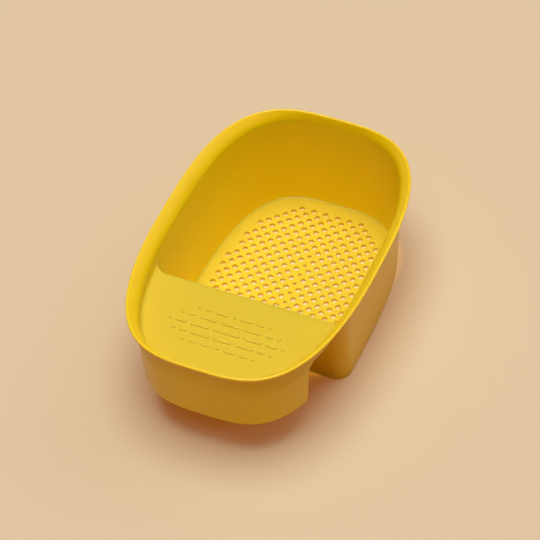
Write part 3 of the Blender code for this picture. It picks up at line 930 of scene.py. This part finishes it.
# The floor and the shelf take the deeper yellows, painted shade in the drain holes.
FLOOR_PP = satin_polypropylene(
    "satin_polypropylene_floor", HOLE_SHADE_YELLOWS, FLOOR_SHEEN_YELLOW, HEIGHT, FLATS, PLATE_DEPTH,
)
SHELF_PP = satin_polypropylene(
    "satin_polypropylene_shelf", HOLE_SHADE_YELLOWS, SHELF_SHEEN_YELLOW, HEIGHT, FLATS, PLATE_DEPTH,
)
dressed = {
    BOWL_PP: (bowl, apron), RECESS_PP: (saddle, elbow), RIM_PP: (rim,),
    FLOOR_PP: (strainer,), SHELF_PP: (shelf,),
}
for plastic, parts in dressed.items():
    for part in parts:
        part.data.materials.append(plastic)
print("Plastics:", ", ".join(plastic.name for plastic in dressed))

# %% [markdown]
# ## Table
# A plain sheet of sand-coloured paper, pressed smooth, so it has no highlight and only a
# faint cloud of fibre. Seen rays get its own sand colour, and the light that it sends to
# the basket is warmer.

# %% The table
TABLE_SIZE, FIBRE_MM = 6.0, 300.0
PAPER_SANDS, PAPER_BOUNCE = ("B6B297", "B4AF94"), "C48D55"
table_work = bmesh.new()
bmesh.ops.create_grid(table_work, x_segments=2, y_segments=2, size=TABLE_SIZE / 2)
table = bpy.data.objects.new("paper_table", mesh_of("paper_table", table_work))
bpy.context.scene.collection.objects.link(table)
paper = bpy.data.materials.new("sand_paper")
paper.use_nodes = True
table.data.materials.append(paper)
paper_tree = paper.node_tree
paper_shader = paper_tree.nodes["Principled BSDF"]
paper_shader.inputs["Roughness"].default_value = 0.9
paper_shader.inputs["Specular IOR Level"].default_value = 0.1
paper_spot = add_node(paper_tree, "ShaderNodeTexCoord").outputs["Object"]
fibre = add_node(paper_tree, "ShaderNodeTexNoise", {
    "Vector": paper_spot, "Scale": MM / FIBRE_MM, "Detail": 1.0,
})
paper_tint = add_node(paper_tree, "ShaderNodeMix", {
    "Factor": fibre.outputs["Fac"], "A": linear(PAPER_SANDS[0]), "B": linear(PAPER_SANDS[1]),
}, data_type="RGBA")
ray = add_node(paper_tree, "ShaderNodeLightPath")
seen = add_node(paper_tree, "ShaderNodeMath", {
    0: ray.outputs["Is Camera Ray"], 1: ray.outputs["Is Glossy Ray"],
}, operation="MAXIMUM")
seen = add_node(paper_tree, "ShaderNodeMath", {
    0: seen.outputs[0], 1: ray.outputs["Is Transmission Ray"],
}, operation="MAXIMUM")
sent_back = add_node(paper_tree, "ShaderNodeMix", {
    "Factor": seen.outputs[0], "A": linear(PAPER_BOUNCE), "B": paper_tint.outputs["Result"],
}, data_type="RGBA")
paper_tree.links.new(sent_back.outputs["Result"], paper_shader.inputs["Base Color"])
print(f"Table: {TABLE_SIZE:.0f} m of paper")

# %% [markdown]
# ## Light from the paper
# In the photo the shadows turn warm brown, not grey, because the yellow basket and the sand
# colour pass light to and fro. A weak warm glow that only seen and mirrored rays meet gives
# that tone. Under the strainer, light bounces many times in a gap of just over a
# millimetre, more often than the renderer follows. A soft pool of glow puts that light
# back, so the paper shows pale through the drain holes, palest in the middle.

# %% The paper's glow
SHADOW_GLOW, SHADOW_TINT = 0.21, "FF8200"
# A fade begins and is full at these shares of the pool's half sizes, from outside inwards.
POOL_MIDDLE, POOL_SIZE, POOL_FADE = (0.0, 0.042, 0.0), (0.074, 0.088, 1.0), (1.0, 0.7)
POOL_GLOW, POOL_TINT, POOL_EDGE_TINT, POOL_TINT_FADE = 0.34, "FFCE84", "FFB61C", (0.65, 0.05)
# The tint of the pool's light on the underside and in the holes.
POOL_BOUNCE = "FFE27C"
under_bowl = add_node(paper_tree, "ShaderNodeVectorMath", {
    0: paper_spot, 1: POOL_MIDDLE,
}, operation="SUBTRACT")
under_bowl = add_node(paper_tree, "ShaderNodeVectorMath", {
    0: under_bowl.outputs[0], 1: POOL_SIZE,
}, operation="DIVIDE")
# The length of the squares gives the pool a boxy outline, like the strainer's.
squares = add_node(paper_tree, "ShaderNodeVectorMath", {
    0: under_bowl.outputs[0], 1: under_bowl.outputs[0],
}, operation="MULTIPLY")
from_middle = add_node(paper_tree, "ShaderNodeVectorMath", {
    0: squares.outputs[0],
}, operation="LENGTH").outputs["Value"]
pool = add_node(paper_tree, "ShaderNodeMapRange", {
    "Value": from_middle, "From Min": POOL_FADE[0], "From Max": POOL_FADE[1],
}, interpolation_type="SMOOTHSTEP")
glow = add_node(paper_tree, "ShaderNodeMath", {
    0: seen.outputs[0], 1: SHADOW_GLOW,
}, operation="MULTIPLY")
glow = add_node(paper_tree, "ShaderNodeMath", {
    0: pool.outputs["Result"], 1: POOL_GLOW, 2: glow.outputs[0],
}, operation="MULTIPLY_ADD")
paleness = add_node(paper_tree, "ShaderNodeMapRange", {
    "Value": from_middle, "From Min": POOL_TINT_FADE[0], "From Max": POOL_TINT_FADE[1],
})
pool_tint = add_node(paper_tree, "ShaderNodeMix", {
    "Factor": paleness.outputs["Result"], "A": linear(POOL_EDGE_TINT), "B": linear(POOL_TINT),
}, data_type="RGBA")
glow_tint = add_node(paper_tree, "ShaderNodeMix", {
    "Factor": pool.outputs["Result"], "A": linear(SHADOW_TINT), "B": pool_tint.outputs["Result"],
}, data_type="RGBA")
glow_tint = add_node(paper_tree, "ShaderNodeMix", {
    "Factor": seen.outputs[0], "A": linear(POOL_BOUNCE), "B": glow_tint.outputs["Result"],
}, data_type="RGBA")
paper_tree.links.new(glow.outputs[0], paper_shader.inputs["Emission Strength"])
paper_tree.links.new(glow_tint.outputs["Result"], paper_shader.inputs["Emission Color"])
print(f"The paper glows by {SHADOW_GLOW}, and by {POOL_GLOW} more under the bowl")

# %% [markdown]
# ## Light
# The light in the photo comes almost straight down from a large soft source, with weaker
# ones at the front and the right. Lamps with a wide angle and no position, like a piece of
# sky, light the whole basket evenly, where a near lamp would fade across it. Their shares
# were fitted to the brightness of some forty places on the walls, floor, shelf and paper.

# %% The lamps
# How far each is turned from +X and raised from the table, and its width, all in degrees,
# and then its power.
LAMPS = {
    "overhead": (0, 90, 38, 2.60),
    "above_the_front": (-90, 72, 30, 0.50),
    "from_the_right": (50, 50, 40, 0.46),
    "from_the_front_right": (-45, 55, 50, 0.27),
}
LAMP_DISTANCE, WORLD_STRENGTH = 1.5, 0.02


def soft_light(name, turned, raised, wide, power):
    """An even light from one side of the sky, of some width."""
    data = bpy.data.lights.new(name, "SUN")
    data.angle, data.energy = math.radians(wide), power
    lamp = bpy.data.objects.new(name, data)
    around, above = math.radians(turned), math.radians(raised)
    level = math.cos(above)
    way = Vector((level * math.cos(around), level * math.sin(around), math.sin(above)))
    lamp.rotation_euler = way.to_track_quat("Z", "Y").to_euler()
    lamp.location = way * LAMP_DISTANCE
    bpy.context.scene.collection.objects.link(lamp)


for lamp_name, values in LAMPS.items():
    soft_light(lamp_name, *values)
world = bpy.data.worlds.new("studio")
world.use_nodes = True
sky = world.node_tree.nodes["Background"]
sky.inputs["Color"].default_value = linear("FFFFFF")
sky.inputs["Strength"].default_value = WORLD_STRENGTH
bpy.context.scene.world = world
bpy.context.scene.view_settings.view_transform = "Standard"
print(len(LAMPS), "lamps")

# %% [markdown]
# ## Camera
# The camera was fitted to the drain holes' lattice: a long lens, high up and a little to
# the right of the apron.

# %% The camera
CAMERA_PLACE = (0.6338, -1.3241, 1.6994)
# The camera's own three directions in the basket's frame.
RIGHT, UP, BACK = (0.9192, 0.3917, -0.0393), (-0.2680, 0.6957, 0.6665), (0.2884, -0.6021, 0.7445)
SENSOR_MM, LENS_MM = 36.0, 196.8
camera_data = bpy.data.cameras.new("camera")
camera_data.sensor_width, camera_data.lens = SENSOR_MM, LENS_MM
camera = bpy.data.objects.new("camera", camera_data)
turn = Matrix((RIGHT, UP, BACK)).transposed().to_4x4()
camera.matrix_world = Matrix.Translation(CAMERA_PLACE) @ turn
bpy.context.scene.collection.objects.link(camera)
bpy.context.scene.camera = camera
print(f"The camera stands {Vector(CAMERA_PLACE).length:.2f} m from the basket")
